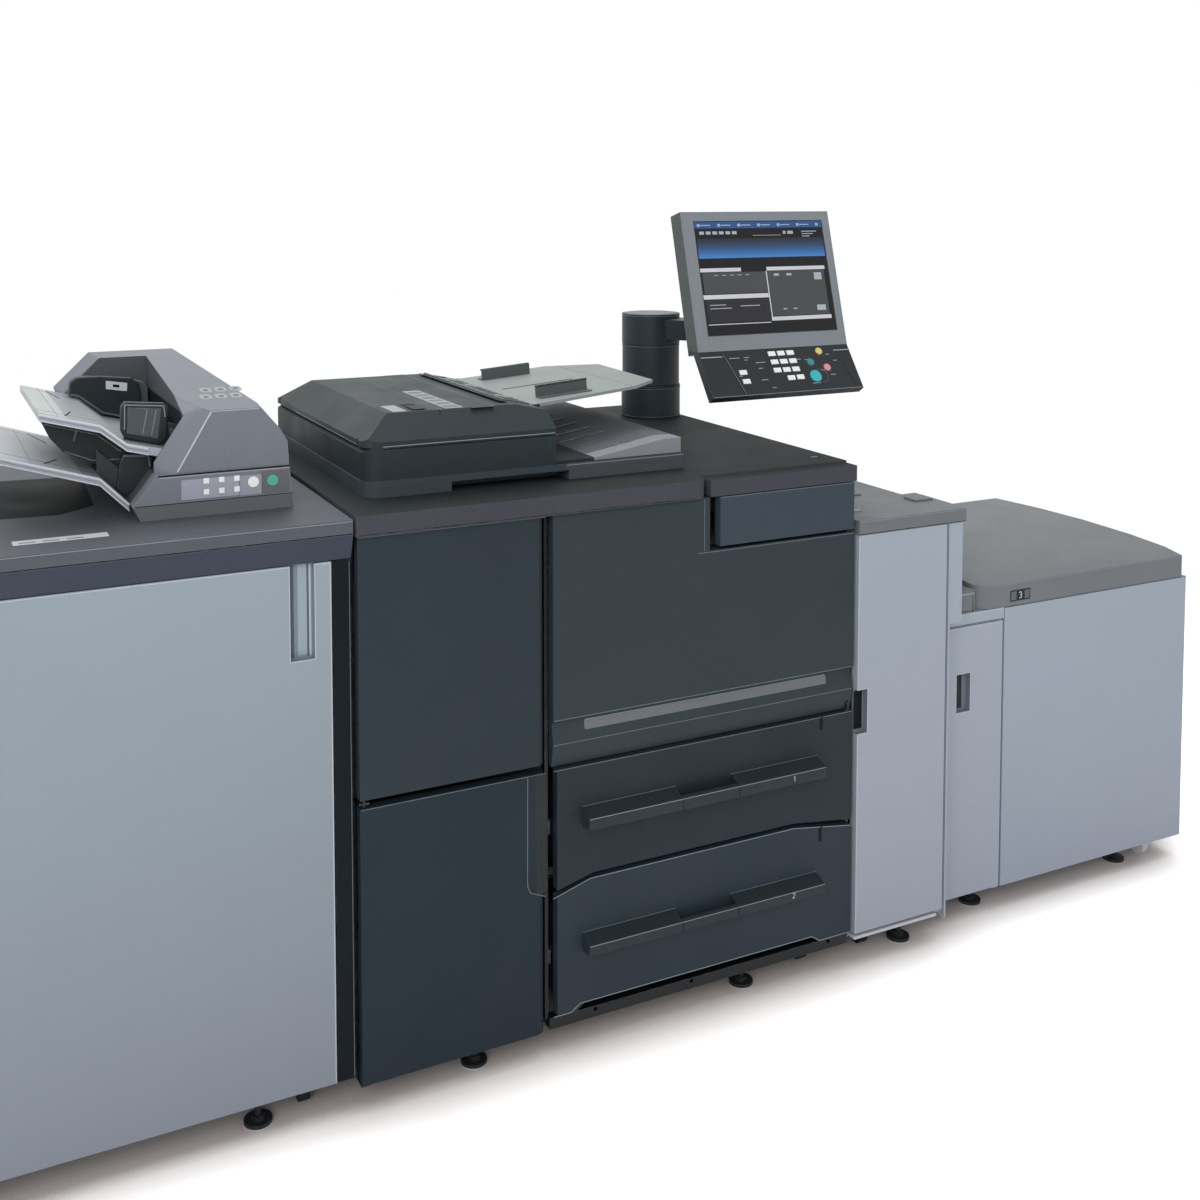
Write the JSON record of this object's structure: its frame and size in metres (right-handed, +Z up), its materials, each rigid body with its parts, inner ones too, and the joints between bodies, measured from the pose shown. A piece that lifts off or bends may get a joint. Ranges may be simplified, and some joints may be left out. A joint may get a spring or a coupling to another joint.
{
  "type": "digital production printer",
  "caption": "Docked line of a digital production printer: finishing unit with post inserter, print engine with document feeder and swivelling touch panel, relay unit and paper deck.",
  "frame": {"origin": "on the floor in the middle of the line's width and depth", "axes": "+X to the right along the docked line, +Y from the operator's side to the back, +Z up"},
  "size_m": [2.934, 0.89, 1.4768],
  "materials": {
    "frame_steel": "semi-matt grey coat",
    "charcoal_panel": "fine satin grain",
    "charcoal_cover": "satin powder coat",
    "worktop_dark": "fine leather grain",
    "dark_plastic": "fine grain",
    "platen_glass": "polished",
    "drawer_plate": "zinc coat",
    "rail_steel": "zinc coat",
    "drum_coat": "gloss photoconductive coat",
    "roller_rubber": "matt rubber",
    "heat_roller": "smooth release coat",
    "unit_grey": "matt",
    "motor_metal": "cast",
    "pale_plastic": "matt",
    "feeder_grey": "fine grain",
    "tray_grey": "satin",
    "output_grey": "satin",
    "post_dark": "fine grain",
    "bezel_grey": "satin",
    "screen_dark": "gloss",
    "key_white": "satin",
    "key_yellow": "satin",
    "key_teal": "satin",
    "key_pink": "satin",
    "cabinet_blue_grey": "satin powder coat",
    "panel_blue_grey": "satin",
    "finisher_top": "fine grain",
    "inserter_grey": "fine grain",
    "sheet_tray_grey": "satin",
    "relay_panel": "satin powder coat",
    "deck_panel": "satin powder coat",
    "deck_lid_grey": "fine grain",
    "caster_black": "matt",
    "foot_metal": "zinc coat"
  },
  "bodies": {
    "machine": {"engine_frame": "frame_steel", "engine_side_covers": "charcoal_cover", "engine_rear_cover": "charcoal_cover", "power_inlet": "dark_plastic", "engine_worktop": "worktop_dark", "platen_glass": "platen_glass", "drawer_rails": "rail_steel", "developer_unit": "unit_grey", "transfer_unit": "unit_grey", "main_motor": "motor_metal", "waste_toner_box": "pale_plastic", "feeder_hinges": "rail_steel", "panel_post": "post_dark", "finisher_frame": "cabinet_blue_grey", "finisher_worktop": "finisher_top", "stapler_unit": "unit_grey", "inserter_housing": "inserter_grey", "inserter_trays": "sheet_tray_grey", "relay_cabinet": "relay_panel", "deck_cabinet": "deck_panel", "casters": "caster_black", "levelling_feet": "foot_metal"},
    "scanner": {"scanner_carriage": "dark_plastic"},
    "upper_left_door": {"left_upper_door": "charcoal_panel"},
    "lower_left_door": {"left_lower_door": "charcoal_panel"},
    "main_door": {"front_door": "charcoal_panel"},
    "toner_hatch": {"toner_door": "charcoal_panel"},
    "bottle": {"toner_bottle": "pale_plastic"},
    "upper_drawer": {"drawer_1": "charcoal_panel", "drawer_1_handle": "dark_plastic"},
    "upper_lift": {"drawer_1_lift_plate": "drawer_plate"},
    "lower_drawer": {"drawer_2": "charcoal_panel", "drawer_2_handle": "dark_plastic"},
    "lower_lift": {"drawer_2_lift_plate": "drawer_plate"},
    "drum": {"photoconductor_drum": "drum_coat"},
    "heat_roller": {"fixing_heat_roller": "heat_roller"},
    "press_roller": {"fixing_press_roller": "roller_rubber"},
    "feeder": {"feeder_base": "feeder_grey", "feeder_housing": "feeder_grey", "feeder_output_plate": "output_grey"},
    "cover": {"feeder_cover": "feeder_grey"},
    "input_tray": {"feeder_input_tray": "tray_grey"},
    "front_guide": {"feeder_guide_front": "tray_grey"},
    "rear_guide": {"feeder_guide_rear": "tray_grey"},
    "pickup": {"feeder_pickup_roller": "roller_rubber"},
    "arm": {"panel_arm": "post_dark"},
    "panel": {"panel_housing": "bezel_grey", "panel_screen": "screen_dark"},
    "number_key_set": {"number_keys": "key_white"},
    "function_key_set": {"function_keys": "key_yellow"},
    "start_button": {"start_key": "key_teal"},
    "stop_button": {"stop_key": "key_pink"},
    "finishing_door": {"finisher_door": "panel_blue_grey"},
    "stacker": {"stack_tray": "dark_plastic"},
    "exit_drive": {"exit_roller": "roller_rubber"},
    "inserter_key_set": {"inserter_keys": "key_white"},
    "relay_front_door": {"relay_door": "panel_blue_grey"},
    "deck_front_door": {"deck_door": "panel_blue_grey"},
    "paper_deck_lid": {"deck_lid": "deck_lid_grey"},
    "deck_lift": {"deck_lift_plate": "drawer_plate"}
  },
  "joints": [
    {"name": "scanner_travel", "type": "slide", "parent": "machine", "child": "scanner", "axis": [1, 0, 0], "range_m": [0, 0.37]},
    {"name": "upper_left_door_hinge", "type": "hinge", "parent": "machine", "child": "upper_left_door", "pos_m": [-0.471, -0.409, 0.747], "axis": [0, 0, -1], "range_deg": [0, 100]},
    {"name": "lower_left_door_hinge", "type": "hinge", "parent": "machine", "child": "lower_left_door", "pos_m": [-0.471, -0.409, 0.283], "axis": [0, 0, -1], "range_deg": [0, 100]},
    {"name": "main_door_hinge", "type": "hinge", "parent": "machine", "child": "main_door", "pos_m": [0.497, -0.409, 0.7], "axis": [0, 0, 1], "range_deg": [0, 90]},
    {"name": "toner_hatch_hinge", "type": "hinge", "parent": "machine", "child": "toner_hatch", "pos_m": [0.497, -0.409, 0.92], "axis": [0, 0, 1], "range_deg": [0, 90]},
    {"name": "bottle_spin", "type": "hinge", "parent": "machine", "child": "bottle", "pos_m": [0.351, -0.385, 0.9084], "axis": [0, 1, 0], "continuous": true},
    {"name": "upper_drawer_slide", "type": "slide", "parent": "machine", "child": "upper_drawer", "axis": [0, -1, 0], "range_m": [0, 0.52]},
    {"name": "upper_lift_travel", "type": "slide", "parent": "upper_drawer", "child": "upper_lift", "axis": [0, 0, 1], "range_m": [0, 0.12]},
    {"name": "lower_drawer_slide", "type": "slide", "parent": "machine", "child": "lower_drawer", "axis": [0, -1, 0], "range_m": [0, 0.52]},
    {"name": "lower_lift_travel", "type": "slide", "parent": "lower_drawer", "child": "lower_lift", "axis": [0, 0, 1], "range_m": [0, 0.14]},
    {"name": "drum_spin", "type": "hinge", "parent": "machine", "child": "drum", "pos_m": [0.11694, -0.315, 0.734], "axis": [0, 1, 0], "continuous": true},
    {"name": "heat_roller_spin", "type": "hinge", "parent": "machine", "child": "heat_roller", "pos_m": [-0.30225, -0.315, 0.714], "axis": [0, 1, 0], "continuous": true},
    {"name": "press_roller_spin", "type": "hinge", "parent": "machine", "child": "press_roller", "pos_m": [-0.30225, -0.315, 0.6497], "axis": [0, 1, 0], "continuous": true},
    {"name": "feeder_hinge", "type": "hinge", "parent": "machine", "child": "feeder", "pos_m": [-0.123, 0.302, 1.019], "axis": [-1, 0, 0], "range_deg": [0, 60]},
    {"name": "cover_hinge", "type": "hinge", "parent": "feeder", "child": "cover", "pos_m": [-0.427, -0.31, 1.0896], "axis": [0, -1, 0], "range_deg": [0, 70]},
    {"name": "input_tray_hinge", "type": "hinge", "parent": "feeder", "child": "input_tray", "pos_m": [-0.065, -0.19, 1.1163], "axis": [0, -1, 0], "range_deg": [0, 45]},
    {"name": "front_guide_slide", "type": "slide", "parent": "input_tray", "child": "front_guide", "axis": [0, 1, 0], "range_m": [0, 0.06]},
    {"name": "rear_guide_slide", "type": "slide", "parent": "input_tray", "child": "rear_guide", "axis": [0, -1, 0], "range_m": [0, 0.06]},
    {"name": "pickup_spin", "type": "hinge", "parent": "feeder", "child": "pickup", "pos_m": [-0.1018, -0.19, 1.1036], "axis": [0, 1, 0], "continuous": true},
    {"name": "arm_swivel", "type": "hinge", "parent": "machine", "child": "arm", "pos_m": [0.437, 0.275, 1], "axis": [0, 0, 1], "range_deg": [-25, 25]},
    {"name": "panel_tilt", "type": "hinge", "parent": "arm", "child": "panel", "pos_m": [0.574, 0.04681, 1.27539], "axis": [1, 0, 0], "range_deg": [-10, 15]},
    {"name": "number_keys_press", "type": "slide", "parent": "panel", "child": "number_key_set", "axis": [0, 0.8192, -0.5736], "range_m": [0, 0.0015], "stiffness_N_per_m": 400, "springref_m": -0.001},
    {"name": "function_keys_press", "type": "slide", "parent": "panel", "child": "function_key_set", "axis": [0, 0.8192, -0.5736], "range_m": [0, 0.0015], "stiffness_N_per_m": 400, "springref_m": -0.001},
    {"name": "start_press", "type": "slide", "parent": "panel", "child": "start_button", "axis": [0, 0.8192, -0.5736], "range_m": [0, 0.0015], "stiffness_N_per_m": 400, "springref_m": -0.001},
    {"name": "stop_press", "type": "slide", "parent": "panel", "child": "stop_button", "axis": [0, 0.8192, -0.5736], "range_m": [0, 0.0015], "stiffness_N_per_m": 400, "springref_m": -0.001},
    {"name": "finishing_door_hinge", "type": "hinge", "parent": "machine", "child": "finishing_door", "pos_m": [-1.235, -0.399, 0.495], "axis": [0, 0, -1], "range_deg": [0, 100]},
    {"name": "stacker_travel", "type": "slide", "parent": "machine", "child": "stacker", "axis": [0, 0, -1], "range_m": [0, 0.38]},
    {"name": "exit_spin", "type": "hinge", "parent": "machine", "child": "exit_drive", "pos_m": [-1.2277, -0.265, 0.6915], "axis": [0, 1, 0], "continuous": true},
    {"name": "inserter_keys_press", "type": "slide", "parent": "machine", "child": "inserter_key_set", "axis": [0, 1, 0], "range_m": [0, 0.0015], "stiffness_N_per_m": 400, "springref_m": -0.001},
    {"name": "relay_door_hinge", "type": "hinge", "parent": "machine", "child": "relay_front_door", "pos_m": [0.721, -0.415, 0.464], "axis": [0, 0, 1], "range_deg": [0, 90]},
    {"name": "deck_door_hinge", "type": "hinge", "parent": "machine", "child": "deck_front_door", "pos_m": [0.916, -0.366, 0.338], "axis": [0, 0, 1], "range_deg": [0, 90]},
    {"name": "deck_lid_hinge", "type": "hinge", "parent": "machine", "child": "paper_deck_lid", "pos_m": [1.152, 0.236, 0.657], "axis": [-1, 0, 0], "range_deg": [0, 60]},
    {"name": "deck_lift_travel", "type": "slide", "parent": "machine", "child": "deck_lift", "axis": [0, 0, 1], "range_m": [0, 0.42]}
  ],
  "couplings": [
    {"joint": "press_roller_spin", "follows": "heat_roller_spin", "ratio": -1},
    {"joint": "rear_guide_slide", "follows": "front_guide_slide", "ratio": 1}
  ]
}
